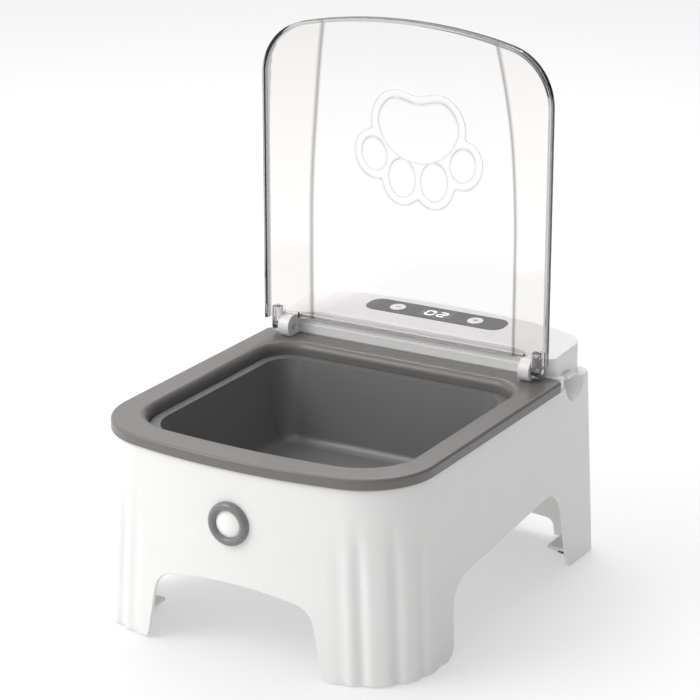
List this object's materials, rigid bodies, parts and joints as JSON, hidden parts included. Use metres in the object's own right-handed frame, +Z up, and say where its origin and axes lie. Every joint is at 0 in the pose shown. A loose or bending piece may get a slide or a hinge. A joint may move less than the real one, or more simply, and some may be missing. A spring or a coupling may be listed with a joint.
{
  "type": "automatic pet feeder",
  "caption": "Low four-legged pet feeder with a lift-out bowl in a grey rim, a clear lid that a gearmotor turns shut, a control housing and a front sensor.",
  "frame": {"origin": "middle of the footprint on the floor, under the feeder", "axes": "+Z up; the front wall with the sensor faces -Y; +X is to the right for someone who faces the front wall"},
  "size_m": [0.212, 0.265, 0.3283],
  "materials": {
    "white_shell": "smooth white moulding",
    "grey_rim": "smooth grey moulding",
    "grey_bowl": "smooth grey moulding",
    "clear_lid": "clear polished moulding",
    "grey_strip": "satin grey strip",
    "dark_window": "dark tinted window",
    "display_black": "moulded display body",
    "key_white": "smooth white key",
    "switch_black": "moulded switch body",
    "board_green": "coated circuit board",
    "steel": "plain steel",
    "acetal": "natural acetal",
    "gearbox_grey": "moulded gearbox case",
    "ring_grey": "smooth grey ring",
    "lens_milky": "milky white lens",
    "nut_black": "moulded nut",
    "base_white": "fine textured moulding",
    "case_black": "moulded battery case",
    "cell_sleeve": "plain printed sleeve",
    "pad_rubber": "soft rubber"
  },
  "bodies": {
    "stand": {"body_shell": "white_shell", "rear_housing": "white_shell", "leg_caps": "base_white", "bowl_frame": "grey_rim", "hinge_bushes": "acetal", "idler_pin": "steel", "drive_bracket": "steel", "gearbox": "gearbox_grey", "motor_can": "steel", "control_strip": "grey_strip", "display_window": "dark_window", "display_module": "display_black", "tact_switches": "switch_black", "control_board": "board_green", "sensor_bezel": "ring_grey", "sensor_lens": "lens_milky", "bezel_nut": "nut_black", "sensor_can": "steel", "sensor_board": "board_green", "base_plate": "base_white", "battery_case": "case_black", "battery_cells": "cell_sleeve", "battery_contacts": "steel", "usb_socket": "steel", "power_board": "board_green", "rubber_feet": "pad_rubber", "base_screws": "steel", "rim_screws": "steel", "housing_screws": "steel", "bracket_screws": "steel"},
    "lid": {"lid": "clear_lid", "drive_shaft": "steel", "hinge_pin": "steel", "lid_gear": "acetal"},
    "idler": {"idler_gear": "acetal"},
    "motor_gear": {"motor_pinion": "acetal", "motor_shaft": "steel"},
    "mode_key": {"mode_button": "key_white"},
    "plus_key": {"plus_button": "key_white"},
    "food_bowl": {"bowl": "grey_bowl"},
    "bay_door": {"battery_door": "base_white"}
  },
  "joints": [
    {"name": "lid_hinge", "type": "hinge", "parent": "stand", "child": "lid", "pos_m": [0, 0.06891, 0.128], "axis": [1, 0, 0], "range_deg": [0, 90]},
    {"name": "idler_spin", "type": "hinge", "parent": "stand", "child": "idler", "pos_m": [-0.0826, 0.07783, 0.12675], "axis": [1, 0, 0], "range_deg": [-112.5, 0]},
    {"name": "motor_spin", "type": "hinge", "parent": "stand", "child": "motor_gear", "pos_m": [-0.0826, 0.08669, 0.12518], "axis": [1, 0, 0], "range_deg": [0, 90]},
    {"name": "mode_press", "type": "slide", "parent": "stand", "child": "mode_key", "axis": [0, 0.0523, -0.9986], "range_m": [0, 0.0006], "stiffness_N_per_m": 800, "springref_m": -0.0003},
    {"name": "plus_press", "type": "slide", "parent": "stand", "child": "plus_key", "axis": [0, 0.0523, -0.9986], "range_m": [0, 0.0006], "stiffness_N_per_m": 800, "springref_m": -0.0003},
    {"name": "bowl_lift", "type": "slide", "parent": "stand", "child": "food_bowl", "axis": [0, 0, 1], "range_m": [0, 0.12]},
    {"name": "bay_door_slide", "type": "slide", "parent": "stand", "child": "bay_door", "axis": [0, -1, 0], "range_m": [0, 0.03]}
  ],
  "couplings": [
    {"joint": "idler_spin", "follows": "lid_hinge", "ratio": -1.25},
    {"joint": "motor_spin", "follows": "lid_hinge", "ratio": 1}
  ]
}
